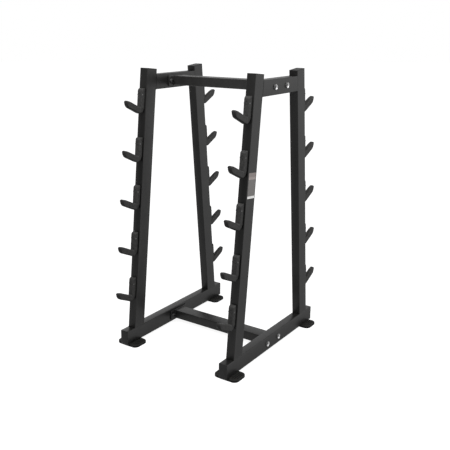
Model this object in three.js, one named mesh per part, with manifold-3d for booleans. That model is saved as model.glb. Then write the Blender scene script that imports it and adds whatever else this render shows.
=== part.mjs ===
// A free-standing storage rack for fixed barbells: two leaning side frames of
// rectangular steel tube, two bolted crossbars between them, and four columns of hooks.
// Millimetres, +Z up. X runs from frame to frame, Y from front to back.
// The origin is on the floor, under the middle of the rack.

import * as THREE from 'three';
import { mergeVertices } from 'three/addons/utils/BufferGeometryUtils.js';
import Module from 'manifold-3d';

// Driving sizes of the whole rack
const frameSpacing = 660; // between the middle planes of the two side frames
const railLength = 914; // floor rail, without its end caps
const footLineHalf = 396.4; // from the middle of the rack to an upright's outer face, at the rail's top
const leanAngle = THREE.MathUtils.degToRad(6); // each upright leans towards the middle
const uprightLength = 1424.5; // along the middle of the tube, from the floor rail to the square-cut top
const topRailDrop = 108.7; // from the middle of an upright's top down to the top rail's underside
const padHeight = 13; // rubber foot, from the floor to the rail

// Rectangular tube, the same for every bar of the rack
const tubeNarrow = 50;
const tubeDeep = 80;
const tubeWall = 3;
const tubeCorner = 3.5;

// Clearances and tessellation
const fitGap = 0.3; // between pieces that are welded, plugged in or screwed on
const holeGap = 0.5; // between a bolt and its hole, on the radius
const overrun = 5; // how far a cutting body runs past what it cuts
const weldTolerance = 0.0001; // vertices closer than this are one
const cornerSteps = 2; // arc quality of the tubes' corners
const plateSteps = 1; // arc quality of the corners of caps, flanges and the sticker
const hookSteps = 2; // arc quality of the hooks' side outline
const padSteps = 3; // arc quality of the feet's outline
const roundSides = 12;
const hexSides = 6;

// Crossbars with their end flanges
const flangeThick = 8;
const flangeLong = 150;
const flangeTall = 58;
const flangeCorner = 8;
const ventRadius = 9;
const boltSpacing = 118; // between the two bolts of a joint

// Frame bolts and nuts
const boltRadius = 6;
const washerRadius = 14.5;
const washerThick = 2.5;
const headRadius = 9.5;
const headTall = 6;
const headCrownShare = 0.7; // width of the head's flat top
const nutAcross = 19;
const nutTall = 10;
const boltTail = 4; // thread that stands out of the nut

// Hooks: a plate on the upright's face that bends forward into a rising prong
const hookRows = 5;
const hookLowest = 188.5; // along the upright, from its foot to the lowest hook's seat
const hookHeadroom = 202.4; // along the upright, from the highest hook's seat to its top
const plateWide = 33;
const plateThick = 24;
const plateAbove = 100; // from the seat to the top of the plate
const plateCorner = 14; // top front corner
const bendStart = 7; // from the seat down to where the back leaves the tube
const bendRadius = 26.3; // of the rounded heel, from the plate's back to the prong's underside
const plateEdge = 3; // rounding of the plate's side edges
const prongWide = 24;
const prongReach = 110; // from the plate's face to the tip
const prongAngle = THREE.MathUtils.degToRad(18.8); // the underside's rise
const noseHeight = 25.8; // of the nose's foremost line above the seat
const noseRadius = 7.1; // of the nose's upper corner
const crownAngle = THREE.MathUtils.degToRad(11.3); // the top's rise behind the nose
const crownStart = 80; // from the plate's face to where the top turns flatter
const prongTuck = 20; // depth of the prong's start inside the plate
const prongEdge = 4; // rounding of the prong's side edges
const seatRadius = 4; // between the plate and the prong
const hookEdgeSteps = 1;
const screwRadius = 4;
const screwLength = 14; // from the plate's back into the tube
const screwDrop = 34; // from the top of the plate to the screw
const screwHeadRadius = 8;
const screwHeadSink = 5;

// Feet and end caps
const padWide = 142;
const padLong = 105;
const padOverhang = 13.5; // how far the rail's cap stands out past the pad
const padCorner = 28;
const padEdge = 3;
const padStudRadius = 8;
const padStudTall = 9;
const capThick = 3;
const plugDepth = 22;
const plugWall = 3;

// Blank sticker on the front right upright
const stickerWide = 64;
const stickerTall = 127;
const stickerThick = 0.4;
const stickerMiddle = 892; // along the upright, from its foot

// Sizes that follow from the ones above
const halfSpacing = frameSpacing / 2;
const railBase = padHeight;
const railTop = railBase + tubeDeep;
const topRailBase = railTop + uprightLength * Math.cos(leanAngle) - topRailDrop;
const hookPitch = (uprightLength - hookLowest - hookHeadroom) / (hookRows - 1);
const innerWidth = frameSpacing - tubeNarrow;
const footCentre = footLineHalf - tubeDeep / 2 / Math.cos(leanAngle);
const boreNarrow = tubeNarrow - tubeWall * 2;
const boreDeep = tubeDeep - tubeWall * 2;
const boreCorner = tubeCorner - tubeWall;
const railEnd = railLength / 2 + capThick + fitGap;

const wasm = await Module();
wasm.setup();

// Materials

function paint() {
  return new THREE.MeshStandardMaterial({ color: 0x2b2b2c, roughness: 0.45, metalness: 0.3 });
}

function hookNylon() {
  return new THREE.MeshStandardMaterial({ color: 0x302f2f, roughness: 0.75, metalness: 0 });
}

function footRubber() {
  return new THREE.MeshStandardMaterial({ color: 0x161616, roughness: 0.85, metalness: 0 });
}

function capPlastic() {
  return new THREE.MeshStandardMaterial({ color: 0x1c1c1d, roughness: 0.6, metalness: 0 });
}

function boltSteel() {
  return new THREE.MeshStandardMaterial({ color: 0x9b9da0, roughness: 0.3, metalness: 1 });
}

function stickerVinyl() {
  return new THREE.MeshStandardMaterial({ color: 0x74706d, roughness: 0.5, metalness: 0 });
}

// Solids and booleans

function toSolid(geometry) {
  const bare = geometry.clone();
  bare.deleteAttribute('normal');
  bare.deleteAttribute('uv');
  const merged = mergeVertices(bare, weldTolerance);
  const vertProperties = new Float32Array(merged.attributes.position.array);
  const triVerts = new Uint32Array(merged.index.array);
  return new wasm.Manifold(new wasm.Mesh({ numProp: 3, vertProperties, triVerts }));
}

function toGeometry(solid) {
  const mesh = solid.getMesh();
  const geometry = new THREE.BufferGeometry();
  geometry.setAttribute('position', new THREE.BufferAttribute(mesh.vertProperties, mesh.numProp));
  geometry.setIndex(new THREE.BufferAttribute(mesh.triVerts, 1));
  geometry.computeVertexNormals();
  return geometry;
}

function joined(base, additions) {
  return additions.reduce((solid, geometry) => solid.add(toSolid(geometry)), base);
}

function cutFrom(base, cutters) {
  return cutters.reduce((solid, geometry) => solid.subtract(toSolid(geometry)), base);
}

// Outlines

function roundedRectangle(path, wide, tall, radius) {
  const x = wide / 2 - radius;
  const y = tall / 2 - radius;
  path.absarc(x, -y, radius, -Math.PI / 2, 0);
  path.absarc(x, y, radius, 0, Math.PI / 2);
  path.absarc(-x, y, radius, Math.PI / 2, Math.PI);
  path.absarc(-x, -y, radius, Math.PI, Math.PI * 1.5);
  path.closePath();
  return path;
}

// A straight hollow tube along +Z, standing on z = 0, narrow along X and deep along Y
function tubeGeometry(length) {
  const outline = roundedRectangle(new THREE.Shape(), tubeNarrow, tubeDeep, tubeCorner);
  outline.holes.push(roundedRectangle(new THREE.Path(), boreNarrow, boreDeep, boreCorner));
  return new THREE.ExtrudeGeometry(outline, { depth: length, bevelEnabled: false, curveSegments: cornerSteps });
}

// A plate with rounded corners along +Z, standing on z = 0
function plateGeometry(wide, tall, radius, thick) {
  const outline = roundedRectangle(new THREE.Shape(), wide, tall, radius);
  return new THREE.ExtrudeGeometry(outline, { depth: thick, bevelEnabled: false, curveSegments: plateSteps });
}

// A round bar along X, centred on the origin
function barAlongX(radius, length) {
  return new THREE.CylinderGeometry(radius, radius, length, roundSides).rotateZ(Math.PI / 2);
}

// A round bar along Y, centred on the origin
function barAlongY(radius, length) {
  return new THREE.CylinderGeometry(radius, radius, length, roundSides);
}

function named(name, geometry, material) {
  const mesh = new THREE.Mesh(geometry, material);
  mesh.name = name;
  return mesh;
}

// Where the two bolts of a joint lie along Y
function boltPlaces() {
  return [-boltSpacing / 2, boltSpacing / 2];
}

// Side frames

// The upright's own frame: z along the tube from its foot, -y out to the hooks
function uprightGeometry() {
  const below = tubeDeep * Math.tan(leanAngle) + overrun;
  const tube = toSolid(tubeGeometry(uprightLength + below).translate(0, 0, -below));
  const ground = new THREE.BoxGeometry(tubeNarrow + overrun * 2, tubeDeep * 2, below * 2);
  ground.translate(0, 0, fitGap - below);
  ground.rotateX(leanAngle);
  const screwHoles = hookSeats().map((seat) => {
    const hole = barAlongY(screwRadius + holeGap, tubeWall + overrun * 2);
    return hole.translate(0, -tubeDeep / 2, seat + plateAbove - screwDrop);
  });
  return toGeometry(cutFrom(tube, [ground, ...screwHoles]));
}

// Heights of the hooks' seats along the upright
function hookSeats() {
  return Array.from({ length: hookRows }, (_, row) => hookLowest + row * hookPitch);
}

// The floor rail lies along Y, centred, with its bolt and foot stud holes
function floorRailGeometry() {
  const tube = tubeGeometry(railLength).translate(0, 0, -railLength / 2);
  const rail = toSolid(tube.rotateX(Math.PI / 2));
  const boltHoles = boltPlaces().map((y) => barAlongX(boltRadius + holeGap, tubeNarrow + overrun * 2).translate(0, y, 0));
  const studHoles = [-1, 1].map((end) => {
    const hole = barAlongY(padStudRadius + holeGap, tubeWall + overrun * 2).rotateX(Math.PI / 2);
    return hole.translate(0, end * padPlace(), -tubeDeep / 2);
  });
  return toGeometry(cutFrom(rail, [...boltHoles, ...studHoles]));
}

// Distance from the middle of the rack to the middle of a foot pad and its stud
function padPlace() {
  return railEnd - padOverhang - padLong / 2;
}

// The top rail lies along Y between the uprights, both ends cut at the lean
function topRailGeometry() {
  const middle = topRailBase + tubeDeep / 2;
  const innerFace = footLineHalf - tubeDeep / Math.cos(leanAngle) - (middle - railTop) * Math.tan(leanAngle);
  const roughLength = innerFace * 2 + tubeDeep;
  const rail = toSolid(tubeGeometry(roughLength).translate(0, 0, -roughLength / 2).rotateX(Math.PI / 2));
  const endCuts = [-1, 1].map((end) => {
    const block = new THREE.BoxGeometry(tubeNarrow + overrun * 2, tubeDeep, tubeDeep * 2);
    block.translate(0, end * (tubeDeep / 2 - fitGap), 0);
    return block.rotateX(end * leanAngle).translate(0, end * innerFace, 0);
  });
  const boltHoles = boltPlaces().map((y) => barAlongX(boltRadius + holeGap, tubeNarrow + overrun * 2).translate(0, y, 0));
  return toGeometry(cutFrom(rail, [...endCuts, ...boltHoles]));
}

// A cap with a hollow plug, its flange on z = 0 and the plug hanging down into the tube
function endCapGeometry() {
  const lid = plateGeometry(tubeNarrow, tubeDeep, tubeCorner, capThick).translate(0, 0, fitGap);
  const plugNarrow = boreNarrow - fitGap * 2;
  const plugDeep = boreDeep - fitGap * 2;
  const plug = plateGeometry(plugNarrow, plugDeep, boreCorner, plugDepth + capThick).translate(0, 0, fitGap - plugDepth);
  const hollow = plateGeometry(plugNarrow - plugWall * 2, plugDeep - plugWall * 2, boreCorner, plugDepth);
  hollow.translate(0, 0, fitGap - plugDepth - plugWall);
  return toGeometry(cutFrom(joined(toSolid(lid), [plug]), [hollow]));
}

// Rubber foot with a moulded stud that goes up into the rail
function padGeometry() {
  const outline = roundedRectangle(new THREE.Shape(), padWide, padLong, padCorner);
  const pad = new THREE.ExtrudeGeometry(outline, {
    depth: padHeight - padEdge,
    bevelThickness: padEdge,
    bevelSize: padEdge,
    bevelOffset: -padEdge,
    bevelSegments: 1,
    curveSegments: padSteps,
  });
  const floorCut = new THREE.BoxGeometry(padWide * 2, padLong * 2, padEdge * 2).translate(0, 0, -padEdge);
  const stud = barAlongY(padStudRadius, padStudTall + overrun).rotateX(Math.PI / 2);
  stud.translate(0, 0, padHeight + (padStudTall - overrun) / 2);
  return toGeometry(cutFrom(joined(toSolid(pad), [stud]), [floorCut]));
}

// Hooks

// Side outlines in the upright's frame: x is the distance out from the tube, y the height over the seat
function plateOutline() {
  const heelX = plateThick - bendRadius;
  const outline = new THREE.Shape();
  outline.moveTo(0, plateAbove);
  outline.lineTo(0, -bendStart);
  outline.absarc(bendRadius, -bendStart, bendRadius, Math.PI, Math.PI + Math.acos(-heelX / bendRadius));
  outline.absarc(plateThick - plateCorner, plateAbove - plateCorner, plateCorner, 0, Math.PI / 2);
  outline.closePath();
  return outline;
}

function prongOutline() {
  const tipX = plateThick + prongReach;
  const heelX = bendRadius + bendRadius * Math.sin(prongAngle);
  const heelY = -bendStart - bendRadius * Math.cos(prongAngle);
  const sharpY = heelY + (tipX - heelX) * Math.tan(prongAngle);
  const sweepRadius = (noseHeight - sharpY) / Math.tan((Math.PI / 2 - prongAngle) / 2);
  const crownX = tipX - noseRadius - noseRadius * Math.sin(crownAngle);
  const crownY = noseHeight + noseRadius * Math.cos(crownAngle);
  const turnX = plateThick + crownStart;
  const turnY = crownY - (crownX - turnX) * Math.tan(crownAngle);
  const slope = Math.atan2(turnY, crownStart);
  const outline = new THREE.Shape();
  outline.moveTo(plateThick / 2, seatRadius);
  outline.lineTo(plateThick / 2, -prongTuck);
  outline.lineTo(plateThick, -bendStart - bendRadius);
  outline.lineTo(heelX, heelY);
  outline.absarc(tipX - sweepRadius, noseHeight, sweepRadius, prongAngle - Math.PI / 2, 0);
  outline.absarc(tipX - noseRadius, noseHeight, noseRadius, 0, crownAngle + Math.PI / 2);
  outline.lineTo(turnX, turnY);
  outline.absarc(plateThick + seatRadius, seatRadius, seatRadius, slope + Math.PI * 1.5, Math.PI, true);
  outline.closePath();
  return outline;
}

// Extrudes a side outline to its full width with rounded side edges, centred on x = 0
function sideExtrusion(outline, wide, edge) {
  const body = new THREE.ExtrudeGeometry(outline, {
    depth: wide - edge * 2,
    bevelThickness: edge,
    bevelSize: edge,
    bevelOffset: -edge,
    bevelSegments: hookEdgeSteps,
    curveSegments: hookSteps,
  });
  body.translate(0, 0, edge - wide / 2);
  return body.rotateX(Math.PI / 2).rotateZ(-Math.PI / 2);
}

function hookGeometry() {
  const plate = sideExtrusion(plateOutline(), plateWide, plateEdge);
  const prong = sideExtrusion(prongOutline(), prongWide, prongEdge);
  const screwHeight = plateAbove - screwDrop;
  const sink = barAlongY(screwHeadRadius, screwHeadSink + overrun);
  sink.translate(0, -plateThick - (overrun - screwHeadSink) / 2, screwHeight);
  const screw = barAlongY(screwRadius, screwLength + plateThick / 2);
  screw.translate(0, (screwLength - plateThick / 2) / 2, screwHeight);
  return toGeometry(joined(cutFrom(toSolid(plate), [sink]), [prong, screw]));
}

// Crossbar along X, with a flange welded on each end. A vent in the flange opens the tube
function crossbarGeometry() {
  const barLength = innerWidth - flangeThick * 2;
  const bar = tubeGeometry(barLength + overrun * 2).translate(0, 0, -barLength / 2 - overrun);
  const flanges = [-1, 1].map((end) => {
    const plate = plateGeometry(flangeTall, flangeLong, flangeCorner, flangeThick);
    return plate.translate(0, 0, end * (innerWidth - flangeThick) / 2 - flangeThick / 2);
  });
  const ends = [-1, 1].map((end) => {
    const block = new THREE.BoxGeometry(tubeDeep * 2, tubeDeep * 2, overrun * 2);
    return block.translate(0, 0, end * (barLength / 2 + overrun));
  });
  const vent = new THREE.CylinderGeometry(ventRadius, ventRadius, innerWidth + overrun * 2, roundSides);
  const holes = boltPlaces().map((y) => {
    const hole = new THREE.CylinderGeometry(boltRadius + holeGap, boltRadius + holeGap, innerWidth + overrun * 2, roundSides);
    return hole.rotateX(Math.PI / 2).translate(0, y, 0);
  });
  const trimmed = cutFrom(toSolid(bar), ends);
  const whole = cutFrom(joined(trimmed, flanges), [vent.rotateX(Math.PI / 2), ...holes]);
  return toGeometry(whole).rotateY(Math.PI / 2);
}

// A bolt along +X: washer against x = 0, head outside, shank running in to -X
function boltGeometry() {
  const shankLength = tubeNarrow + flangeThick + nutTall + boltTail;
  const profile = [
    new THREE.Vector2(0, -shankLength),
    new THREE.Vector2(boltRadius, -shankLength),
    new THREE.Vector2(boltRadius, 0),
    new THREE.Vector2(washerRadius, 0),
    new THREE.Vector2(washerRadius, washerThick),
    new THREE.Vector2(headRadius, washerThick),
    new THREE.Vector2(headRadius, washerThick + headTall / 2),
    new THREE.Vector2(headRadius * headCrownShare, washerThick + headTall),
    new THREE.Vector2(0, washerThick + headTall),
  ];
  return new THREE.LatheGeometry(profile, roundSides).rotateZ(-Math.PI / 2);
}

// A hexagon nut along X, its seat on x = 0, bored to clear the bolt
function nutGeometry() {
  const corner = nutAcross / 2 / Math.cos(Math.PI / hexSides);
  const body = new THREE.CylinderGeometry(corner, corner, nutTall, hexSides).rotateZ(Math.PI / 2);
  body.translate(-nutTall / 2, 0, 0);
  const bore = barAlongX(boltRadius + fitGap, nutTall * 2 + overrun);
  return toGeometry(cutFrom(toSolid(body), [bore]));
}

// Assembly

function addUpright(frame, side, end, place) {
  const leaning = new THREE.Group();
  leaning.rotation.x = -leanAngle;
  leaning.position.set(0, -footCentre, railTop);
  const turned = new THREE.Group();
  turned.rotation.z = end === 'front' ? 0 : Math.PI;
  turned.add(leaning);
  frame.add(turned);
  leaning.add(named(`${side}_${end}_upright`, uprightGeometry(), paint()));
  const cap = named(`${side}_${end}_upright_cap`, endCapGeometry(), capPlastic());
  cap.position.z = uprightLength;
  leaning.add(cap);
  hookSeats().forEach((seat, row) => {
    const hook = named(`${side}_${end}_hook_${row + 1}`, hookGeometry(), hookNylon());
    hook.position.set(0, -tubeDeep / 2 - fitGap, seat);
    leaning.add(hook);
  });
  if (place) {
    leaning.add(place);
  }
}

function addFloorParts(frame, side) {
  const rail = named(`${side}_floor_rail`, floorRailGeometry(), paint());
  rail.position.z = railBase + tubeDeep / 2;
  frame.add(rail);
  for (const [end, direction] of [['front', -1], ['rear', 1]]) {
    const cap = named(`${side}_${end}_rail_cap`, endCapGeometry(), capPlastic());
    cap.rotation.x = -direction * Math.PI / 2;
    cap.position.set(0, direction * railLength / 2, railBase + tubeDeep / 2);
    frame.add(cap);
    const pad = named(`${side}_${end}_foot`, padGeometry(), footRubber());
    pad.rotation.z = direction < 0 ? 0 : Math.PI;
    pad.position.y = direction * padPlace();
    frame.add(pad);
  }
}

function addTopRail(frame, side) {
  const rail = named(`${side}_top_rail`, topRailGeometry(), paint());
  rail.position.z = topRailBase + tubeDeep / 2;
  frame.add(rail);
}

// Four bolts and nuts hold the two crossbars to one side frame
function addFrameBolts(frame, side, outward) {
  const levels = [['lower', railBase + tubeDeep / 2], ['upper', topRailBase + tubeDeep / 2]];
  for (const [level, height] of levels) {
    boltPlaces().forEach((y, index) => {
      const end = index === 0 ? 'front' : 'rear';
      const bolt = named(`${side}_${level}_${end}_bolt`, boltGeometry(), boltSteel());
      bolt.rotation.z = outward > 0 ? 0 : Math.PI;
      bolt.position.set(outward * tubeNarrow / 2, y, height);
      frame.add(bolt);
      const nut = named(`${side}_${level}_${end}_nut`, nutGeometry(), boltSteel());
      nut.rotation.z = outward > 0 ? 0 : Math.PI;
      nut.position.set(-outward * (tubeNarrow / 2 + flangeThick), y, height);
      frame.add(nut);
    });
  }
}

function sticker() {
  const decal = named('blank_sticker', plateGeometry(stickerTall, stickerWide, stickerThick, stickerThick), stickerVinyl());
  decal.rotation.y = Math.PI / 2;
  decal.position.set(tubeNarrow / 2, 0, stickerMiddle);
  return decal;
}

function sideFrame(side, outward) {
  const frame = new THREE.Group();
  frame.position.x = outward * halfSpacing;
  addFloorParts(frame, side);
  addTopRail(frame, side);
  addUpright(frame, side, 'front', outward > 0 ? sticker() : null);
  addUpright(frame, side, 'rear', null);
  addFrameBolts(frame, side, outward);
  return frame;
}

function crossbar(level, height) {
  const bar = named(`${level}_crossbar`, crossbarGeometry(), paint());
  bar.position.z = height;
  return bar;
}

const rack = new THREE.Group();
rack.add(sideFrame('left', -1));
rack.add(sideFrame('right', 1));
rack.add(crossbar('lower', railBase + tubeDeep / 2));
rack.add(crossbar('upper', topRailBase + tubeDeep / 2));

export default rack;
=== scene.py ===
import math
import bmesh
import bpy
from mathutils import Matrix, Vector


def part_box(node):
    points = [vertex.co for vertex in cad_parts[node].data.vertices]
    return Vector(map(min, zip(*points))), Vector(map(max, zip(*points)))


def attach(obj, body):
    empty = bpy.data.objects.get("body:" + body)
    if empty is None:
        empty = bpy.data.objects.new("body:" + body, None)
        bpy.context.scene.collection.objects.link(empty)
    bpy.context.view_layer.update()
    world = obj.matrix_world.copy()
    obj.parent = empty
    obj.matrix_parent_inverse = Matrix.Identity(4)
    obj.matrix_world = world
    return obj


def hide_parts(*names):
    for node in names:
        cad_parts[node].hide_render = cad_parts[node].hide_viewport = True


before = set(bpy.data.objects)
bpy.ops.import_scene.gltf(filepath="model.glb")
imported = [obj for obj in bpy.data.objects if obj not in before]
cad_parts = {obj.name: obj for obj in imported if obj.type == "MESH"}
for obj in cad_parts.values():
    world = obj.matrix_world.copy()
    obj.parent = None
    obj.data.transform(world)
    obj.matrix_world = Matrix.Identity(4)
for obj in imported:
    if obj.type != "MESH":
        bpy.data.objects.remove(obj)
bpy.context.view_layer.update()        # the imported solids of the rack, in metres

# Camera, floor and lights

view = {
    "place": (2.0434, -3.0525, 1.7474),
    "yaw": 35.705,       # degrees to the left of straight ahead
    "pitch": -15.743,
    "roll": 0.093,
    "lens": 54.742,
    "shift": (0.0581, -0.0220),
}

studio = {
    "floorSize": 60.0,
    "domeRadius": 29.0,
    "domeRings": (48, 24),
    "airColor": (0.8, 0.8, 0.8, 1),
    # soft glows in the air: degrees round from +X, degrees up, focus, strength
    "glows": [
        (0, -25, 5.0, 1.05),
        (270, -25, 5.0, 0.88),
        (45, 12, 5.0, 1.43),
        (108, 22, 30.0, 1.30),
        (142, 22, 30.0, 1.95),
        (135, -35, 5.0, 1.00),
        (180, -20, 5.0, 1.30),
    ],
    # name, place, size, watts; all face the middle of the rack
    "lamps": [
        ("sideSoftbox", (2.70, 0.0, 4.12), (2.4, 2.4), 72),
        ("frontSoftbox", (0.0, -2.70, 4.12), (2.4, 2.4), 120),
    ],
    "target": (0.0, 0.0, 0.9),
}


def makeCamera():
    yaw, pitch, roll = (math.radians(view[part]) for part in ("yaw", "pitch", "roll"))
    ahead = Vector((-math.sin(yaw) * math.cos(pitch), math.cos(yaw) * math.cos(pitch), math.sin(pitch)))
    level = Vector((math.cos(yaw), math.sin(yaw), 0))
    upright = level.cross(ahead)
    right = level * math.cos(roll) + upright * math.sin(roll)
    up = upright * math.cos(roll) - level * math.sin(roll)
    turn = Matrix((right, up, -ahead)).transposed().to_4x4()
    camera = bpy.data.objects.new("camera", bpy.data.cameras.new("camera"))
    bpy.context.scene.collection.objects.link(camera)
    camera.matrix_world = Matrix.Translation(view["place"]) @ turn
    camera.data.lens = view["lens"]
    camera.data.shift_x, camera.data.shift_y = view["shift"]
    bpy.context.scene.camera = camera


# The floor and the dome neither light nor shade the rack
def showToCameraOnly(backdrop):
    for ray in ("diffuse", "glossy", "transmission", "shadow", "volume_scatter"):
        setattr(backdrop, f"visible_{ray}", False)


def makeStudio():
    bpy.context.scene.view_settings.view_transform = "Standard"
    world = bpy.data.worlds.new("studioAir")
    world.use_nodes = True
    bpy.context.scene.world = world
    tree = world.node_tree
    air = tree.nodes["Background"]
    air.inputs["Color"].default_value = studio["airColor"]
    heading = tree.nodes.new("ShaderNodeTexCoord")
    total = None
    for around, above, focus, strength in studio["glows"]:
        around, above = math.radians(around), math.radians(above)
        level = math.cos(above)
        glowMiddle = (math.cos(around) * level, math.sin(around) * level, math.sin(above))
        towards = tree.nodes.new("ShaderNodeVectorMath")
        towards.operation = "DOT_PRODUCT"
        towards.inputs[1].default_value = glowMiddle
        tree.links.new(heading.outputs["Generated"], towards.inputs[0])
        lit = addMath(tree, "MAXIMUM", towards.outputs["Value"], 0.0)
        glow = addMath(tree, "MULTIPLY", addMath(tree, "POWER", lit, focus), strength)
        total = glow if total is None else addMath(tree, "ADD", total, glow)
    tree.links.new(total, air.inputs["Strength"])
    for name, place, size, watts in studio["lamps"]:
        lamp = bpy.data.lights.new(name, "AREA")
        lamp.shape = "RECTANGLE"
        lamp.size, lamp.size_y = size
        lamp.energy = watts
        holder = bpy.data.objects.new(name, lamp)
        bpy.context.scene.collection.objects.link(holder)
        aim = Vector(studio["target"]) - Vector(place)
        holder.matrix_world = Matrix.Translation(place) @ aim.to_track_quat("-Z", "Y").to_matrix().to_4x4()
        holder.visible_camera = False
    deselectAll()
    bpy.ops.mesh.primitive_plane_add(size=studio["floorSize"])
    floor = bpy.context.object
    floor.name = "floor"
    showToCameraOnly(floor)
    floor.data.materials.append(paleFloor())
    deselectAll()
    around, upwards = studio["domeRings"]
    bpy.ops.mesh.primitive_uv_sphere_add(segments=around, ring_count=upwards, radius=studio["domeRadius"])
    dome = bpy.context.object
    dome.name = "paleDome"
    showToCameraOnly(dome)
    dome.data.materials.append(paleDome())


# Working helpers

tiny = 1e-5          # metres, less than any step in a mesh
facing = 0.9         # a face looks along an axis where its normal has at least this share of it
straight = 0.999     # the same for the run of an edge


def deselectAll():
    bpy.ops.object.select_all(action="DESELECT")


def makeActive(piece):
    deselectAll()
    piece.select_set(True)
    bpy.context.view_layer.objects.active = piece


def newBlock(name, size, centre=(0, 0, 0)):
    deselectAll()
    bpy.ops.mesh.primitive_cube_add(size=1, location=centre)
    block = bpy.context.object
    block.name = name
    block.scale = size
    bpy.ops.object.transform_apply(location=True, rotation=True, scale=True)
    return block


def newRound(name, radius, depth, sides, centre=(0, 0, 0)):
    deselectAll()
    bpy.ops.mesh.primitive_cylinder_add(vertices=sides, radius=radius, depth=depth, location=centre)
    disc = bpy.context.object
    disc.name = name
    bpy.ops.object.transform_apply(location=True, rotation=True, scale=True)
    return disc


# Selects the faces, edges or vertices that a test on their place or normal picks out
def pick(piece, kind, test):
    bpy.ops.mesh.select_mode(type={"verts": "VERT", "edges": "EDGE", "faces": "FACE"}[kind])
    bpy.ops.mesh.select_all(action="DESELECT")
    mesh = bmesh.from_edit_mesh(piece.data)
    for part in getattr(mesh, kind):
        part.select = bool(test(part))
    mesh.select_flush_mode()
    bmesh.update_edit_mesh(piece.data)


# Moves sets of corners, all chosen by their first places
def moveCorners(piece, moves):
    mesh = bmesh.from_edit_mesh(piece.data)
    chosen = [{vert.index for vert in mesh.verts if test(vert.co)} for test, _ in moves]
    for corners, (_, shift) in zip(chosen, moves):
        pick(piece, "verts", lambda vert: vert.index in corners)
        bpy.ops.transform.translate(value=shift)


def runsAlong(edge, axis):
    run = (edge.verts[1].co - edge.verts[0].co).normalized()
    return abs(run[axis]) > straight


def middle(edge):
    return (edge.verts[0].co + edge.verts[1].co) / 2


def bevelEdges(piece, test, width, steps):
    pick(piece, "edges", test)
    bpy.ops.mesh.bevel(offset=width, offset_type="OFFSET", segments=steps, affect="EDGES")


def editPiece(piece):
    makeActive(piece)
    bpy.ops.object.mode_set(mode="EDIT")


def endEdit():
    bpy.ops.object.mode_set(mode="OBJECT")


def applyModifier(piece, kind, **values):
    makeActive(piece)
    added = piece.modifiers.new(kind.lower(), kind)
    for name, value in values.items():
        setattr(added, name, value)
    bpy.ops.object.modifier_apply(modifier=added.name)


# Puts a finished piece where it belongs, with its place in its mesh
def settle(piece, matrix):
    makeActive(piece)
    piece.matrix_world = matrix
    bpy.ops.object.transform_apply(location=True, rotation=True, scale=True)
    return piece


def copyOf(piece, name):
    twin = piece.copy()
    twin.data = piece.data.copy()
    twin.name = name
    twin.data.name = name
    bpy.context.scene.collection.objects.link(twin)
    return twin


def joinPieces(pieces, name):
    deselectAll()
    for piece in pieces:
        piece.select_set(True)
    bpy.context.view_layer.objects.active = pieces[0]
    bpy.ops.object.join()
    pieces[0].name = name
    return pieces[0]


def smooth(piece, angle=32):
    makeActive(piece)
    bpy.ops.object.shade_smooth_by_angle(angle=math.radians(angle))


# Gives a piece its finish, if it has none yet, its body and the node that it stands for
def dress(piece, finish, slot, *nodes):
    if not piece.data.materials:
        piece.data.materials.append(finish)
    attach(piece, "root")
    if nodes:
        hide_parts(*nodes)


# Finishes

def startFinish(name):
    finish = bpy.data.materials.new(name)
    finish.use_nodes = True
    nodes = finish.node_tree.nodes
    shader = nodes["Principled BSDF"]
    place = nodes.new("ShaderNodeTexCoord")
    return finish, finish.node_tree, shader, place.outputs["Object"]


def addNoise(tree, place, scale, detail=2.0, rough=0.5):
    noise = tree.nodes.new("ShaderNodeTexNoise")
    noise.inputs["Scale"].default_value = scale
    noise.inputs["Detail"].default_value = detail
    noise.inputs["Roughness"].default_value = rough
    tree.links.new(place, noise.inputs["Vector"])
    return noise.outputs["Fac"]


def addRange(tree, value, low, high, fromLow=0.35, fromHigh=0.65):
    ranged = tree.nodes.new("ShaderNodeMapRange")
    ranged.inputs["From Min"].default_value = fromLow
    ranged.inputs["From Max"].default_value = fromHigh
    ranged.inputs["To Min"].default_value = low
    ranged.inputs["To Max"].default_value = high
    tree.links.new(value, ranged.inputs["Value"])
    return ranged.outputs["Result"]


def addMath(tree, kind, value, other):
    sums = tree.nodes.new("ShaderNodeMath")
    sums.operation = kind
    for socket, given in ((sums.inputs[0], value), (sums.inputs[1], other)):
        if isinstance(given, float):
            socket.default_value = given
        else:
            tree.links.new(given, socket)
    return sums.outputs[0]


def addMix(tree, factor, colorA, colorB):
    mix = tree.nodes.new("ShaderNodeMix")
    mix.data_type = "RGBA"
    tree.links.new(factor, mix.inputs["Factor"])
    # sockets 6 and 7 take the colours A and B, and output 2 gives the mixed one
    for socket, color in ((mix.inputs[6], colorA), (mix.inputs[7], colorB)):
        if isinstance(color, tuple):
            socket.default_value = color
        else:
            tree.links.new(color, socket)
    return mix.outputs[2]


def addBump(tree, shader, height, strength, distance):
    bump = tree.nodes.new("ShaderNodeBump")
    bump.inputs["Strength"].default_value = strength
    bump.inputs["Distance"].default_value = distance
    tree.links.new(height, bump.inputs["Height"])
    tree.links.new(bump.outputs["Normal"], shader.inputs["Normal"])


# Two colours, mixed by a noise
def addTint(tree, noise, look):
    return addMix(tree, addRange(tree, noise, 0, 1), look["dark"], look["light"])


# Roughness follows one noise and the bump another
def addSurface(tree, shader, look, roughNoise, bumpNoise):
    tree.links.new(addRange(tree, roughNoise, *look["rough"]), shader.inputs["Roughness"])
    if "specular" in look:
        shader.inputs["Specular IOR Level"].default_value = look["specular"]
    if "bump" in look:
        addBump(tree, shader, bumpNoise, *look["bump"])


def heightOf(tree, place):
    split = tree.nodes.new("ShaderNodeSeparateXYZ")
    tree.links.new(place, split.inputs[0])
    return split.outputs["Z"]


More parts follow.
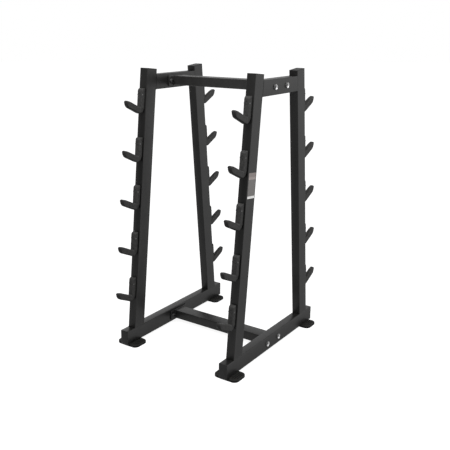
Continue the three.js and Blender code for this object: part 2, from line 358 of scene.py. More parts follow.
# A mark that a piece carries on its vertices, and 0 on a piece without it
def readMark(tree, name):
    mark = tree.nodes.new("ShaderNodeAttribute")
    mark.attribute_name = name
    return mark.outputs["Fac"]


# Below, a noise is given by scale, detail and roughness, and a bump by strength and depth in metres

coatLook = {
    "blotch": (14, 3),
    "grain": (620, 2),
    # the second tone is a lighter copy of the same coat, painted light for the upper crossbar
    "tones": {"powderCoat": (0.011, 0.015), "paintedLightPowderCoat": (0.021, 0.027)},
    "warmth": (1, 0.98, 0.955),      # red, green and blue of a tone
    # near-black colour of the painted shade strip
    "coatShade": (0.001, 0.001, 0.001, 1),
    "coatShadeAcross": (0.1, 0.55),      # values of the painted-shade mark where its dark strip begins and is full
    "coatShadeLow": (0.20, 0.55),        # heights where the strip begins and is full
    "coatShadeHigh": (1.05, 1.40),       # heights where it fades and ends
    "rough": (0.30, 0.38),
    "bump": (0.25, 0.0003),
}


# Painted shade: the coat-shade mark paints a dark strip along the uprights, beside one corner, in place of a
# dark reflection there, short of their feet and tops
def powderCoat(name):
    look = coatLook
    finish, tree, shader, place = startFinish(name)
    dark, light = (tuple(part * tone for part in look["warmth"]) + (1,) for tone in look["tones"][name])
    tint = addMix(tree, addRange(tree, addNoise(tree, place, *look["blotch"]), 0, 1), dark, light)
    height = heightOf(tree, place)
    reach = addMath(tree, "MULTIPLY", addRange(tree, height, 0, 1, *look["coatShadeLow"]),
                    addRange(tree, height, 1, 0, *look["coatShadeHigh"]))
    strip = addRange(tree, readMark(tree, "coatShade"), 0, 1, *look["coatShadeAcross"])
    # painted shade: where the mark is high, within those heights, the coat goes near black
    shaded = addMath(tree, "MULTIPLY", strip, reach)
    tree.links.new(addMix(tree, shaded, tint, look["coatShade"]), shader.inputs["Base Color"])
    grain = addNoise(tree, place, *look["grain"])
    addSurface(tree, shader, look, grain, grain)
    return finish


weldLook = {
    "beadMottle": (180, 3),
    "dark": (0.002, 0.002, 0.002, 1),
    "light": (0.006, 0.006, 0.006, 1),
    "rough": (0.55, 0.75),
    "specular": 0.15,
}


# The beads are rough and darker than the paint, so they read as dark seams
def weldPaint():
    look = weldLook
    finish, tree, shader, place = startFinish("weldPaint")
    beadMottle = addNoise(tree, place, *look["beadMottle"])
    tree.links.new(addTint(tree, beadMottle, look), shader.inputs["Base Color"])
    addSurface(tree, shader, look, beadMottle, beadMottle)
    return finish


nylonLook = {
    "mottle": (90, 4, 0.6),
    "grain": (1100, 2),
    "dark": (0.043, 0.0423, 0.0415, 1),
    "light": (0.076, 0.0745, 0.073, 1),
    # near-black colour of the painted shade
    "hookShadeColor": (0.006, 0.006, 0.006, 1),
    "rough": (0.58, 0.70),
    "specular": 0.3,
    "bump": (0.3, 0.0003),
}


# Painted shade: full tint where the hook-shade mark is high, dark where it is 0, on undersides and at the
# prong's tip
def grainedNylon():
    look = nylonLook
    finish, tree, shader, place = startFinish("grainedNylon")
    mottle = addNoise(tree, place, *look["mottle"])
    tint = addMix(tree, readMark(tree, "hookShade"), look["hookShadeColor"], addTint(tree, mottle, look))
    tree.links.new(tint, shader.inputs["Base Color"])
    addSurface(tree, shader, look, mottle, addNoise(tree, place, *look["grain"]))
    return finish


rubberLook = {
    "mottle": (60, 4, 0.6),
    "grain": (900, 3),
    "dark": (0.014, 0.0138, 0.013, 1),
    "light": (0.026, 0.025, 0.023, 1),
    # near-black colour of the painted shade
    "footShadeColor": (0.002, 0.002, 0.002, 1),
    "footShadeDepth": (0.0018, 0.0004),    # below the top, where the tint starts to rise out of the painted shade and where it is full
    "rough": (0.55, 0.75),
    "specular": 0.35,
    "bump": (0.3, 0.0004),
}


# Painted shade: dark in the grooves and down the sides, with the full tint only on top
def mouldedRubber(top):
    look = rubberLook
    finish, tree, shader, place = startFinish("mouldedRubber")
    mottle = addNoise(tree, place, *look["mottle"])
    litTop = addRange(tree, heightOf(tree, place), 0, 1, *(top - depth for depth in look["footShadeDepth"]))
    tint = addMix(tree, litTop, look["footShadeColor"], addTint(tree, mottle, look))
    tree.links.new(tint, shader.inputs["Base Color"])
    addSurface(tree, shader, look, mottle, addNoise(tree, place, *look["grain"]))
    return finish


capLook = {
    "blotch": (50,),
    "grain": (1400, 2),
    "dark": (0.014, 0.014, 0.014, 1),
    "light": (0.019, 0.019, 0.019, 1),
    "rough": (0.42, 0.55),
    "specular": 0.4,
    "bump": (0.2, 0.0002),
}


def satinCap():
    look = capLook
    finish, tree, shader, place = startFinish("satinCap")
    tree.links.new(addTint(tree, addNoise(tree, place, *look["blotch"]), look), shader.inputs["Base Color"])
    grain = addNoise(tree, place, *look["grain"])
    addSurface(tree, shader, look, grain, grain)
    return finish


steelLook = {
    "spangle": (260, 3),
    "tones": {
        "darkBoltSteel": (0.026, 0.038),
        "greyBoltSteel": (0.050, 0.080),
        # a paler copy of the steel, painted light on the bolt heads' outer sides and painted glints on the
        # hook rivets
        "paintedLightBoltSteel": (0.13, 0.18),
    },
    "rough": (0.28, 0.42),
    "specular": 0.6,
    "bump": (0.08, 0.0002),
}


def boltSteel(name):
    look = steelLook
    finish, tree, shader, place = startFinish(name)
    spangle = addNoise(tree, place, *look["spangle"])
    dark, light = ((tone, tone, tone, 1) for tone in look["tones"][name])
    tint = addMix(tree, addRange(tree, spangle, 0, 1), dark, light)
    tree.links.new(tint, shader.inputs["Base Color"])
    addSurface(tree, shader, look, spangle, spangle)
    return finish


zincLook = {
    "spangle": (300,),
    "dark": (0.86, 0.86, 0.86, 1),
    "light": (0.95, 0.95, 0.95, 1),
    "metal": 0.3,
    "rough": (0.25, 0.36),
    "specular": 0.8,
}


# Painted highlight: near-white zinc for the slope inside each bolt head, in place of a bright reflection
def paintedHighlightZinc():
    look = zincLook
    finish, tree, shader, place = startFinish("paintedHighlightZinc")
    spangle = addNoise(tree, place, *look["spangle"])
    tree.links.new(addTint(tree, spangle, look), shader.inputs["Base Color"])
    shader.inputs["Metallic"].default_value = look["metal"]
    addSurface(tree, shader, look, spangle, spangle)
    return finish


vinylLook = {
    "fibre": (220, 4, 0.6),
    "rough": (0.4, 0.52),
    "bump": (0.05, 0.0001),
}


def plainVinyl(name, colorA, colorB):
    look = vinylLook
    finish, tree, shader, place = startFinish(name)
    fibre = addNoise(tree, place, *look["fibre"])
    tree.links.new(addMix(tree, addRange(tree, fibre, 0, 1), colorA, colorB), shader.inputs["Base Color"])
    addSurface(tree, shader, look, fibre, fibre)
    return finish


floorLook = {
    "mottle": (3,),
    "dark": (0.42, 0.42, 0.42, 1),
    "light": (0.44, 0.44, 0.44, 1),
    "roughness": 0.8,
    "glow": (0.90, 1.0),             # emission near the rack and far from it
    "glowReach": (1.0, 4.0),         # metres from the middle
}


# Paler away from the rack, so it ends in the white of the dome
def paleFloor():
    look = floorLook
    finish, tree, shader, place = startFinish("paleFloor")
    tree.links.new(addTint(tree, addNoise(tree, place, *look["mottle"]), look), shader.inputs["Base Color"])
    shader.inputs["Roughness"].default_value = look["roughness"]
    shader.inputs["Specular IOR Level"].default_value = 0.0
    far = tree.nodes.new("ShaderNodeVectorMath")
    far.operation = "LENGTH"
    tree.links.new(place, far.inputs[0])
    glow = addRange(tree, far.outputs["Value"], *look["glow"], *look["glowReach"])
    shader.inputs["Emission Color"].default_value = (1, 1, 1, 1)
    tree.links.new(glow, shader.inputs["Emission Strength"])
    return finish


def paleDome():
    finish, _, shader, _ = startFinish("paleDome")
    shader.inputs["Base Color"].default_value = (0, 0, 0, 1)
    shader.inputs["Specular IOR Level"].default_value = 0.0
    shader.inputs["Emission Color"].default_value = (1, 1, 1, 1)
    shader.inputs["Emission Strength"].default_value = 1.0
    return finish


# Sizes that the pieces share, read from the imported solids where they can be

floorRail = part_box("right_floor_rail")
rack = {
    "frameHalf": (floorRail[0].x + floorRail[1].x) / 2,
    "railBase": floorRail[0].z,
    "railTop": floorRail[1].z,
    "railHalf": floorRail[1].y,
    "tubeNarrow": 0.050,
    "tubeDeep": 0.080,
    "tubeWall": 0.003,
    "tubeCorner": 0.0035,
    "cornerSteps": 6,
    "overrun": 0.03,         # how far a tube runs past the place where it is cut
    "lean": math.radians(6),
    "footLine": 0.3964,      # upright's outer face where it meets the rail
    "uprightLength": 1.4245,
    "gap": 0.0003,
}
rack["footCentre"] = rack["footLine"] - rack["tubeDeep"] / 2 / math.cos(rack["lean"])
sides = {"left": -1, "right": 1}
ends = {"front": 0.0, "rear": math.pi}


# From an upright's own frame, with z along the tube and -y towards the hooks, to the rack's
def uprightFrame(side, end):
    across = Matrix.Translation((sides[side] * rack["frameHalf"], 0, 0))
    foot = Matrix.Translation((0, -rack["footCentre"], rack["railTop"]))
    return across @ Matrix.Rotation(ends[end], 4, "Z") @ foot @ Matrix.Rotation(-rack["lean"], 4, "X")


def turned(angle, axis):
    return Matrix.Rotation(math.radians(angle), 4, axis)


# Tubes

def squareTube(name, start, length):
    bar = newBlock(name, (rack["tubeNarrow"], rack["tubeDeep"], length), (0, 0, start + length / 2))
    editPiece(bar)
    bevelEdges(bar, lambda edge: runsAlong(edge, 2), rack["tubeCorner"], rack["cornerSteps"])
    pick(bar, "faces", lambda face: abs(face.normal.z) > facing)
    bpy.ops.mesh.delete(type="ONLY_FACE")
    endEdit()
    return bar


def cutTube(bar, place, normal):
    editPiece(bar)
    bpy.ops.mesh.select_all(action="SELECT")
    bpy.ops.mesh.bisect(plane_co=place, plane_no=normal, clear_outer=True)
    endEdit()


def giveWall(bar):
    applyModifier(bar, "SOLIDIFY", thickness=rack["tubeWall"], offset=-1)
    smooth(bar)


# The coat-shade mark, a painted shade, rises from 0 to 1 across an upright's front and rear, and falls to 0
# round the corners
def markCoatShade(bar, middleX):
    coatShade = bar.data.attributes.new("coatShade", "FLOAT", "POINT")
    corner = rack["tubeCorner"]
    flatHalf = rack["tubeNarrow"] / 2 - corner
    for vert, mark in zip(bar.data.vertices, coatShade.data):
        out = vert.co.x - middleX
        mark.value = 0.0 if out < 0 else max(0.0, 1 - (out - flatHalf) / corner)


def makeUprights(paint):
    for side in sides:
        for end in ends:
            node = f"{side}_{end}_upright"
            length = rack["overrun"] + rack["uprightLength"]
            bar = squareTube(f"{side}{end.title()}Upright", -rack["overrun"], length)
            settle(bar, uprightFrame(side, end))
            cutTube(bar, (0, 0, rack["railTop"]), (0, 0, -1))
            giveWall(bar)
            markCoatShade(bar, sides[side] * rack["frameHalf"])
            dress(bar, paint, "frame_paint", node)


def makeRails(paint):
    lowTop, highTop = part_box("right_top_rail")
    for side, sign in sides.items():
        across = Matrix.Translation((sign * rack["frameHalf"], 0, 0))
        rail = squareTube(f"{side}FloorRail", -rack["railHalf"], rack["railHalf"] * 2)
        lift = Matrix.Translation((0, 0, (rack["railBase"] + rack["railTop"]) / 2))
        settle(rail, across @ lift @ turned(90, "X"))
        giveWall(rail)
        dress(rail, paint, "frame_paint", f"{side}_floor_rail")
        height = (lowTop.z + highTop.z) / 2
        reach = highTop.y + rack["overrun"]
        top = squareTube(f"{side}TopRail", -reach, reach * 2)
        settle(top, across @ Matrix.Translation((0, 0, height)) @ turned(90, "X"))
        for way in (-1, 1):
            face = rack["footLine"] - rack["tubeDeep"] / math.cos(rack["lean"])
            face -= (height - rack["railTop"]) * math.tan(rack["lean"])
            slope = (0, way * math.cos(rack["lean"]), math.sin(rack["lean"]))
            cutTube(top, (0, way * face, height), slope)
        giveWall(top)
        dress(top, paint, "frame_paint", f"{side}_top_rail")


# Crossbars, each a tube with a flange at both ends

crossbar = {
    "flangeThick": 0.008,
    "flangeCorner": 0.008,
    "cornerSteps": 5,
    "flangeEdge": 0.0012,
    "edgeSteps": 2,
}


def makeCrossbars(finishes):
    for level, paint in finishes.items():
        low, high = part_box(f"{level}_crossbar")
        centre = (low + high) / 2
        reach = high.x - crossbar["flangeThick"]
        bar = squareTube(f"{level}Crossbar", -reach, reach * 2)
        settle(bar, Matrix.Translation(centre) @ turned(90, "Y"))
        giveWall(bar)
        parts = [bar]
        for way in (-1, 1):
            size = (crossbar["flangeThick"], high.y - low.y, high.z - low.z)
            flange = newBlock("flange", size, (way * (reach + crossbar["flangeThick"] / 2), 0, centre.z))
            editPiece(flange)
            bevelEdges(flange, lambda edge: runsAlong(edge, 0),
                       crossbar["flangeCorner"], crossbar["cornerSteps"])
            bevelEdges(flange, lambda edge: abs(edge.verts[0].co.x - edge.verts[1].co.x) < tiny,
                       crossbar["flangeEdge"], crossbar["edgeSteps"])
            endEdit()
            smooth(flange)
            parts.append(flange)
            for beadSize, place, roll in (
                (rack["tubeDeep"], (0, 0, rack["tubeNarrow"] / 2), 0),
                (rack["tubeDeep"], (0, 0, -rack["tubeNarrow"] / 2), 0),
                (rack["tubeNarrow"], (0, rack["tubeDeep"] / 2, 0), 90),
                (rack["tubeNarrow"], (0, -rack["tubeDeep"] / 2, 0), 90),
            ):
                bead = weldBead(beadSize)
                shift = Matrix.Translation(Vector((way * reach, 0, centre.z)) + Vector(place))
                parts.append(settle(bead, shift @ turned(roll, "X") @ turned(90, "Z")))
        whole = joinPieces(parts, f"{level}CrossbarFrame")
        dress(whole, paint, "frame_paint", f"{level}_crossbar")


beadSizes = {
    "radius": 0.0034,
    "sides": 12,
    "pitch": 0.0026,
    "valleyShare": 0.84,
    "tipShare": 0.55,
    "short": 0.004,          # how much a bead on a side frame is shorter than the tube is wide
}


# A rippled weld bead along X, centred
def weldBead(length):
    bead = newRound("bead", beadSizes["radius"], length, beadSizes["sides"])
    rings = int(length / beadSizes["pitch"]) // 2 * 2
    editPiece(bead)
    pick(bead, "edges", lambda edge: runsAlong(edge, 2))
    bpy.ops.mesh.subdivide(number_cuts=rings - 1)
    step = length / rings
    pick(bead, "verts", lambda vert: round((vert.co.z + length / 2) / step) % 2 == 1)
    valley, tip = beadSizes["valleyShare"], beadSizes["tipShare"]
    bpy.ops.transform.resize(value=(valley, valley, 1), center_override=(0, 0, 0))
    pick(bead, "verts", lambda vert: abs(vert.co.z) > length / 2 - step / 2)
    bpy.ops.transform.resize(value=(tip, tip, 1), center_override=(0, 0, 0))
    endEdit()
    settle(bead, turned(90, "Y"))
    smooth(bead, angle=60)
    return bead


def makeFrameWelds(paint):
    lean = rack["lean"]
    lowTop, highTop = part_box("right_top_rail")
    innerFoot = rack["footLine"] - rack["tubeDeep"] / math.cos(lean)
    for side, sign in sides.items():
        parts = []
        for way in (-1, 1):
            spots = [(rack["footLine"], rack["railTop"]), (innerFoot, rack["railTop"])]
            for height in (lowTop.z, highTop.z):
                spots.append((innerFoot - (height - rack["railTop"]) * math.tan(lean), height))
            for reach, height in spots:
                bead = weldBead(rack["tubeNarrow"] - beadSizes["short"])
                place = (sign * rack["frameHalf"], way * reach, height)
                parts.append(settle(bead, Matrix.Translation(place)))
        welds = joinPieces(parts, f"{side}FrameWelds")
        dress(welds, paint, "frame_paint")


# Hooks

hook = {
    "rows": 5,
    "lowest": 0.1885,
    "headroom": 0.2024,
    "plateWide": 0.033,
    "plateLowWide": 0.027,
    "plateThick": 0.024,
    "plateAbove": 0.100,
    "plateBelow": 0.031,
    "topRound": 0.014,       # side view, where the plate's front meets its top
    "topSteps": 8,
    "heelRound": 0.0235,     # side view, where the plate's back bends into the prong
    "heelSteps": 9,
    "plateEdge": 0.0045,
    "edgeSteps": 4,
    "prongHalf": (0.012, 0.010),     # half the width and height of the block that becomes the prong
    # the prong's side outline: out from the tube, top, underside, width
    "prong": (
        (0.0080, -0.0020, -0.0195, 0.029),
        (0.0240, 0.0000, -0.0333, 0.029),
        (0.0348, 0.0039, -0.0319, 0.027),
        (0.1040, 0.0285, -0.0084, 0.025),
        (0.1337, 0.0345, 0.0018, 0.0235),
    ),
    "noseTop": 0.0085,
    "noseSweep": 0.0238,
    "noseSteps": 9,
    "prongEdge": 0.0055,
    "blendGrain": 0.0013,    # grid that melts the plate and the prong into one moulding
    "keepShare": 0.5,
    "undersideShade": 0.75,       # how far down a surface tilts before the painted shade is full
    "sideLitShare": 0.65,        # painted-light level of upright surfaces, against 1 on level ones
    "tipShade": (0.112, 0.136),       # out from the tube, where the painted shade of the tip begins and is full
    # how much of the tint the painted shade takes away at the tip
    "tipShadeStrength": 0.6,
    "screwDrop": 0.034,
    "sinkRadius": 0.0085,
    "sinkDepth": 0.003,
    "plugRadius": 0.0080,
    "plugTall": 0.0024,
    "rivetOut": 0.0190,
    "rivetRadius": 0.0032,
    "rivetTall": 0.0016,
    "rivetSunk": 0.0004,
    "roundSides": 32,
    "crownShare": 0.45,      # rounding of a plug's or rivet's edge against its height
    "sinkSides": 40,
}


def hookPlate():
    high, low = hook["plateAbove"], hook["plateBelow"]
    deep, wide = hook["plateThick"], hook["plateWide"]
    plate = newBlock("plate", (wide, deep, high + low), (0, -deep / 2, (high - low) / 2))
    editPiece(plate)
    bpy.ops.mesh.select_all(action="SELECT")
    bpy.ops.mesh.bisect(plane_co=(0, 0, 0), plane_no=(0, 0, 1))
    pick(plate, "verts", lambda vert: vert.co.z < -low / 2)
    bpy.ops.transform.resize(value=(hook["plateLowWide"] / wide, 1, 1), center_override=(0, 0, 0))
    bevelEdges(plate, lambda edge: runsAlong(edge, 0) and middle(edge).z > high / 2
               and middle(edge).y < -deep / 2, hook["topRound"], hook["topSteps"])
    bevelEdges(plate, lambda edge: runsAlong(edge, 0) and middle(edge).z < -low / 2
               and middle(edge).y > -deep / 2, hook["heelRound"], hook["heelSteps"])
    bevelEdges(plate, lambda edge: abs(middle(edge).x) > tiny and middle(edge).y < -tiny
               and not runsAlong(edge, 0) and not runsAlong(edge, 1), hook["plateEdge"], hook["edgeSteps"])
    endEdit()
    return plate


def hookProng():
    stations = hook["prong"]
    start, reach = stations[0][0], stations[-1][0]
    halfWide, halfTall = hook["prongHalf"]
    prong = newBlock("prong", (halfWide * 2, reach - start, halfTall * 2), (0, -(start + reach) / 2, 0))
    editPiece(prong)
    for out, _, _, _ in stations[1:-1]:
        bpy.ops.mesh.select_all(action="SELECT")
        bpy.ops.mesh.bisect(plane_co=(0, -out, 0), plane_no=(0, 1, 0))
    moves = []
    for out, top, low, wide in stations:
        for way in (-1, 1):
            spread = way * (wide / 2 - halfWide)
            moves.append((lambda place, out=out, way=way: abs(place.y + out) < tiny and place.x * way > 0
                          and place.z > 0, (spread, 0, top - halfTall)))
            moves.append((lambda place, out=out, way=way: abs(place.y + out) < tiny and place.x * way > 0
                          and place.z < 0, (spread, 0, low + halfTall)))
    moveCorners(prong, moves)
    noseMiddle = (stations[-1][1] + stations[-1][2]) / 2
    for above, curve in ((True, hook["noseTop"]), (False, hook["noseSweep"])):
        bevelEdges(prong, lambda edge: runsAlong(edge, 0) and middle(edge).y < tiny - reach
                   and (middle(edge).z > noseMiddle) == above, curve, hook["noseSteps"])
    bevelEdges(prong, lambda edge: abs(middle(edge).x) > tiny and middle(edge).y < -start - tiny
               and not runsAlong(edge, 0) and not runsAlong(edge, 2), hook["prongEdge"], hook["edgeSteps"])
    endEdit()
    return prong


# Painted shade: the hook-shade mark is 1 on upward faces, less on upright ones, and falls to 0 below and at
# the tip, where the moulding is painted dark
def markHookShade(body):
    hookShade = body.data.attributes.new("hookShade", "FLOAT", "POINT")
    tipStart, tipEnd = hook["tipShade"]
    for vert, mark in zip(body.data.vertices, hookShade.data):
        up = vert.normal.z
        side = min(1.0, max(0.0, (up + hook["undersideShade"]) / hook["undersideShade"]))
        litShare = side * hook["sideLitShare"] + max(0.0, up) * (1 - hook["sideLitShare"])
        inner = min(1.0, max(0.0, (tipEnd + vert.co.y) / (tipEnd - tipStart)))
        mark.value = litShare * (1 - hook["tipShadeStrength"] * (1 - inner))


# A shallow crowned button facing -Y, its back at y = 0
def roundButton(name, radius, tall):
    button = newRound(name, radius, tall, hook["roundSides"], (0, 0, tall / 2))
    editPiece(button)
    bevelEdges(button, lambda edge: all(v.co.z > tall - tiny for v in edge.verts),
               tall * hook["crownShare"], hook["edgeSteps"])
    endEdit()
    settle(button, turned(90, "X"))
    smooth(button, angle=40)
    return button


def makeHooks(nylon, steel):
    body = joinPieces([hookPlate(), hookProng()], "hookBody")
    height = hook["plateAbove"] - hook["screwDrop"]
    face = -hook["plateThick"]
    applyModifier(body, "REMESH", mode="VOXEL", voxel_size=hook["blendGrain"])
    applyModifier(body, "SMOOTH", factor=0.5, iterations=5)
    sink = newRound("sink", hook["sinkRadius"], hook["sinkDepth"] * 2, hook["sinkSides"])
    settle(sink, Matrix.Translation((0, face, height)) @ turned(90, "X"))
    applyModifier(body, "DECIMATE", ratio=hook["keepShare"])
    applyModifier(body, "BOOLEAN", operation="DIFFERENCE", object=sink, solver="EXACT")
    bpy.data.objects.remove(sink, do_unlink=True)
    smooth(body, angle=40)
    markHookShade(body)
    body.data.materials.append(nylon)
    plug = roundButton("plug", hook["plugRadius"], hook["plugTall"])
    settle(plug, Matrix.Translation((0, face + hook["sinkDepth"], height)))
    markHookShade(plug)
    plug.data.materials.append(nylon)
    parts = [body, plug]
    # the rivets take the paler steel, painted glints on the plate's sides
    for way in (-1, 1):
        rivet = roundButton("rivet", hook["rivetRadius"], hook["rivetTall"])
        place = (way * (hook["plateWide"] / 2 - hook["rivetSunk"]), -hook["rivetOut"], height)
        settle(rivet, Matrix.Translation(place) @ turned(90 * way, "Z"))
        rivet.data.materials.append(steel)
        parts.append(rivet)
    master = joinPieces(parts, "hookMaster")
    pitch = (rack["uprightLength"] - hook["lowest"] - hook["headroom"]) / (hook["rows"] - 1)
    for side in sides:
        for end in ends:
            for row in range(hook["rows"]):
                node = f"{side}_{end}_hook_{row + 1}"
                twin = copyOf(master, f"{side}{end.title()}Hook{row + 1}")
                seat = (0, -rack["tubeDeep"] / 2 - rack["gap"], hook["lowest"] + row * pitch)
                settle(twin, uprightFrame(side, end) @ Matrix.Translation(seat))
                dress(twin, nylon, "hook_nylon", node)
    bpy.data.objects.remove(master, do_unlink=True)


# End caps and feet

capSizes = {
    "lid": 0.003,
    "edge": 0.0014,
    "edgeSteps": 4,
    "plugWall": 0.003,
    "plugDepth": 0.022,
}


def capMaster():
    wide, deep = rack["tubeNarrow"], rack["tubeDeep"]
    lid = newBlock("cap", (wide, deep, capSizes["lid"]), (0, 0, rack["gap"] + capSizes["lid"] / 2))
    editPiece(lid)
    bevelEdges(lid, lambda edge: runsAlong(edge, 2), rack["tubeCorner"], rack["cornerSteps"])
    pick(lid, "faces", lambda face: face.normal.z < -facing)
    bpy.ops.mesh.inset(thickness=rack["tubeWall"] + rack["gap"])
    bpy.ops.mesh.extrude_region_move(TRANSFORM_OT_translate={"value": (0, 0, -capSizes["plugDepth"])})
    bpy.ops.mesh.inset(thickness=capSizes["plugWall"])
    bpy.ops.transform.translate(value=(0, 0, capSizes["plugDepth"]))
    top = rack["gap"] + capSizes["lid"]
    bevelEdges(lid, lambda edge: all(v.co.z > top - tiny for v in edge.verts),
               capSizes["edge"], capSizes["edgeSteps"])
    endEdit()
    smooth(lid, angle=40)
    return lid


def makeCaps(plastic):
    master = capMaster()
    for side, sign in sides.items():
        for end in ends:
            twin = copyOf(master, f"{side}{end.title()}UprightCap")
            settle(twin, uprightFrame(side, end) @ Matrix.Translation((0, 0, rack["uprightLength"])))
            dress(twin, plastic, "cap_plastic", f"{side}_{end}_upright_cap")
            twin = copyOf(master, f"{side}{end.title()}RailCap")
            way = -1 if end == "front" else 1
            height = (rack["railBase"] + rack["railTop"]) / 2
            place = (sign * rack["frameHalf"], way * rack["railHalf"], height)
            settle(twin, Matrix.Translation(place) @ turned(-90 * way, "X"))
            dress(twin, plastic, "cap_plastic", f"{side}_{end}_rail_cap")
    bpy.data.objects.remove(master, do_unlink=True)


footSizes = {
    "corner": 0.028,
    "cornerSteps": 10,
    "edge": 0.003,
    "edgeSteps": 4,
    "grooves": ((0.036, 0.076), (0.048, 0.070), (0.060, 0.052)),     # place across, length
    "grooveWide": 0.0055,
    "grooveDeep": 0.0022,
    "grooveEndShare": 0.49,  # rounding of a groove's ends against its width
    "grooveRound": 0.0008,
    "grooveSteps": 2,
    "sole": 0.007,
    "soleDeep": 0.0012,
    "studRadius": 0.008,
    "studTall": 0.010,
    "studSunk": 0.001,
    "studSides": 32,
}


def grooveBar(across, length, height):
    wide = footSizes["grooveWide"]
    bar = newBlock("groove", (wide, length, wide), (across, 0, height + wide / 2 - footSizes["grooveDeep"]))
    editPiece(bar)
    bevelEdges(bar, lambda edge: runsAlong(edge, 2),
               wide * footSizes["grooveEndShare"], footSizes["edgeSteps"])
    bevelEdges(bar, lambda edge: all(v.co.z < height for v in edge.verts),
               footSizes["grooveRound"], footSizes["grooveSteps"])
    endEdit()
    return bar


def makeFeet(rubber):
    low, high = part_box("right_front_foot")
    thick = rack["railBase"]
    pad = newBlock("pad", (high.x - low.x, high.y - low.y, thick), (0, 0, thick / 2))
    editPiece(pad)
    bevelEdges(pad, lambda edge: runsAlong(edge, 2), footSizes["corner"], footSizes["cornerSteps"])
    bevelEdges(pad, lambda edge: all(v.co.z > thick - tiny for v in edge.verts),
               footSizes["edge"], footSizes["edgeSteps"])
    pick(pad, "faces", lambda face: face.normal.z < -facing)
    bpy.ops.mesh.inset(thickness=footSizes["sole"])
    bpy.ops.transform.translate(value=(0, 0, footSizes["soleDeep"]))
    endEdit()
    bars = []
    for across, length in footSizes["grooves"]:
        for way in (-1, 1):
            bars.append(grooveBar(way * across, length, thick))
    bars = joinPieces(bars, "grooves")
    applyModifier(pad, "BOOLEAN", operation="DIFFERENCE", object=bars, solver="EXACT")
    bpy.data.objects.remove(bars, do_unlink=True)
    smooth(pad, angle=40)
    studTall = footSizes["studTall"]
    studMiddle = (0, 0, thick + studTall / 2 - footSizes["studSunk"])
    stud = newRound("stud", footSizes["studRadius"], studTall, footSizes["studSides"], studMiddle)
    master = joinPieces([pad, stud], "footMaster")
    for side in sides:
        for end in ends:
            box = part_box(f"{side}_{end}_foot")
            twin = copyOf(master, f"{side}{end.title()}Foot")
            settle(twin, Matrix.Translation(((box[0].x + box[1].x) / 2, (box[0].y + box[1].y) / 2, 0)))
            dress(twin, rubber, "foot_rubber", f"{side}_{end}_foot")
    bpy.data.objects.remove(master, do_unlink=True)


# Frame bolts and nuts

boltSizes = {
    "shank": 0.006,
    "base": 0.0145,
    "rim": 0.0139,
    "rimWall": 0.0006,
    "dishSlope": 0.0042,     # how far the slope with the painted highlight runs in from the rim
    "dishDeep": 0.0054,
    "headTall": 0.0060,
    "sideTilt": 0.2,         # a face of the head whose normal tilts less than this is its outer side
    "hexagon": 0.0058,
    "hexTall": 0.0012,
    "nut": 0.0095,
    "nutTall": 0.010,
    "chamferShare": 1.13,    # radius of the cone that trims a hexagon, against half its flats
    "chamferCutShare": 0.17,
    "tail": 0.004,           # thread that stands out of the nut
    "tailShare": 0.96,
    "tailEdge": 0.001,
    "headSides": 64,
    "chamferSides": 48,
    "shankSides": 32,
}


# A hexagon of this half width across its flats, with its corners trimmed by a cone
def hexBlock(name, across, tall, base):
    centre = (0, 0, base + tall / 2)
    block = newRound(name, across / math.cos(math.pi / 6), tall, 6, centre)
    radius = across * boltSizes["chamferShare"]
    chamfer = newRound("chamfer", radius, tall, boltSizes["chamferSides"], centre)
    editPiece(chamfer)
    bevelEdges(chamfer, lambda edge: abs(edge.verts[0].co.z - edge.verts[1].co.z) < tiny,
               across * boltSizes["chamferCutShare"], steps=1)
    endEdit()
    applyModifier(block, "BOOLEAN", operation="INTERSECT", object=chamfer, solver="EXACT")
    bpy.data.objects.remove(chamfer, do_unlink=True)
    return block


# A dished head standing up from z = 0, with a painted highlight on the slope inside and painted light on its
# outer side, with a low hexagon on its floor
def boltMaster(shankLength, dark, litSide, highlight):
    tall, rim = boltSizes["headTall"], boltSizes["rim"]
    head = newRound("head", boltSizes["base"], tall, boltSizes["headSides"], (0, 0, tall / 2))
    for finish in (dark, litSide, highlight):
        head.data.materials.append(finish)
    editPiece(head)
    pick(head, "faces", lambda face: face.normal.z > facing)
    share = rim / boltSizes["base"]
    bpy.ops.transform.resize(value=(share, share, 1), center_override=(0, 0, tall))
    bpy.ops.mesh.inset(thickness=boltSizes["rimWall"])
    bpy.ops.mesh.inset(thickness=boltSizes["dishSlope"])
    bpy.ops.transform.translate(value=(0, 0, -boltSizes["dishDeep"]))
    tilt = boltSizes["sideTilt"]
    # the outer side takes the paler steel as painted light, and the slope takes the painted highlight
    for slot, low, high in ((1, -tilt, tilt), (2, tilt, facing)):
        pick(head, "faces", lambda face: low < face.normal.z < high)
        head.active_material_index = slot
        bpy.ops.object.material_slot_assign()
    endEdit()
    smooth(head, angle=35)
    hexagon = hexBlock("hexagon", boltSizes["hexagon"], boltSizes["hexTall"], tall - boltSizes["dishDeep"])
    middleDown = (0, 0, -shankLength / 2)
    shank = newRound("shank", boltSizes["shank"], shankLength, boltSizes["shankSides"], middleDown)
    for part in (hexagon, shank):
        smooth(part, angle=35)
        part.data.materials.append(dark)
    return joinPieces([head, hexagon, shank], "boltMaster")


def nutMaster():
    nut = hexBlock("nut", boltSizes["nut"], boltSizes["nutTall"], 0)
    tail = boltSizes["tail"]
    top = boltSizes["nutTall"] + tail
    radius = boltSizes["shank"] * boltSizes["tailShare"]
    end = newRound("end", radius, tail, boltSizes["shankSides"], (0, 0, top - tail / 2))
    editPiece(end)
    bevelEdges(end, lambda edge: all(v.co.z > top - tiny for v in edge.verts),
               boltSizes["tailEdge"], steps=2)
    endEdit()
    nut = joinPieces([nut, end], "nutMaster")
    smooth(nut, angle=35)
    return nut


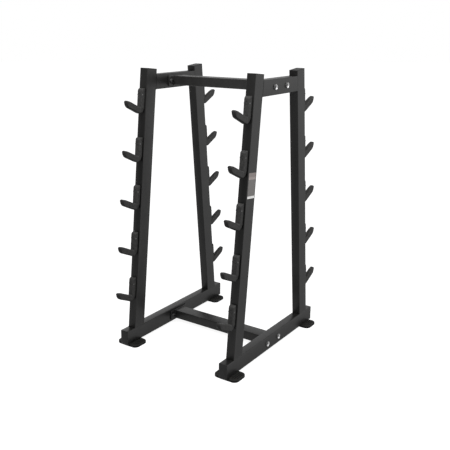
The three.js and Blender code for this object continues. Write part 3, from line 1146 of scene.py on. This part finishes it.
def makeFastenings(dark, grey, litSide, highlight):
    shank = rack["tubeNarrow"] + crossbar["flangeThick"] + boltSizes["nutTall"] + boltSizes["tail"]
    bolt, nut = boltMaster(shank, dark, litSide, highlight), nutMaster()
    for side, sign in sides.items():
        for level in ("lower", "upper"):
            for end in ends:
                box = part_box(f"{side}_{level}_{end}_bolt")
                place = Vector((0, (box[0].y + box[1].y) / 2, (box[0].z + box[1].z) / 2))
                place.x = sign * (rack["frameHalf"] + rack["tubeNarrow"] / 2)
                twin = copyOf(bolt, f"{side}{level.title()}{end.title()}Bolt")
                settle(twin, Matrix.Translation(place) @ turned(90 * sign, "Y"))
                dress(twin, grey, "bolt_steel", f"{side}_{level}_{end}_bolt")
                place.x = sign * (rack["frameHalf"] - rack["tubeNarrow"] / 2 - crossbar["flangeThick"])
                twin = copyOf(nut, f"{side}{level.title()}{end.title()}Nut")
                settle(twin, Matrix.Translation(place) @ turned(-90 * sign, "Y"))
                dress(twin, grey, "bolt_steel", f"{side}_{level}_{end}_nut")
    for used in (bolt, nut):
        bpy.data.objects.remove(used, do_unlink=True)


# Blank sticker, four plain bands of colour

stickerSizes = {
    "wide": 0.064,
    "tall": 0.127,
    "middle": 0.892,
    "thick": 0.0004,
    # share of the height from the bottom up, finish and the two colours that it mixes
    "bands": (
        (0.095, "whiteBand", (0.92, 0.92, 0.91, 1), (0.97, 0.97, 0.96, 1)),
        (0.645, "taupeBand", (0.172, 0.163, 0.158, 1), (0.208, 0.199, 0.192, 1)),
        (0.10, "paleRoseBand", (0.350, 0.305, 0.290, 1), (0.420, 0.365, 0.350, 1)),
        (0.16, "roseBand", (0.255, 0.218, 0.208, 1), (0.315, 0.272, 0.258, 1)),
    ),
}


def makeSticker():
    base = -stickerSizes["tall"] / 2
    parts = []
    for share, name, colorA, colorB in stickerSizes["bands"]:
        tall = share * stickerSizes["tall"]
        band = newBlock("band", (stickerSizes["thick"], stickerSizes["wide"], tall), (0, 0, base + tall / 2))
        band.data.materials.append(plainVinyl(name, colorA, colorB))
        parts.append(band)
        base += tall
    sticker = joinPieces(parts, "blankSticker")
    place = (rack["tubeNarrow"] / 2 + stickerSizes["thick"] / 2, 0, stickerSizes["middle"])
    settle(sticker, uprightFrame("right", "front") @ Matrix.Translation(place))
    dress(sticker, None, "sticker_vinyl", "blank_sticker")


makeCamera()
makeStudio()
print("camera and studio are set")
paint = powderCoat("powderCoat")
makeUprights(paint)
makeRails(paint)
# the upper crossbar takes the lighter copy of the coat, painted light
makeCrossbars({"lower": paint, "upper": powderCoat("paintedLightPowderCoat")})
makeFrameWelds(weldPaint())
print("frame tubes are welded up")
# paler steel: painted light on the bolt-head sides, painted glints on the rivets
paintedLightSteel = boltSteel("paintedLightBoltSteel")
makeHooks(grainedNylon(), paintedLightSteel)
print("hooks are on")
makeCaps(satinCap())
makeFeet(mouldedRubber(rack["railBase"]))
makeFastenings(boltSteel("darkBoltSteel"), boltSteel("greyBoltSteel"), paintedLightSteel, paintedHighlightZinc())
makeSticker()
print("caps, feet, bolts and sticker are on")
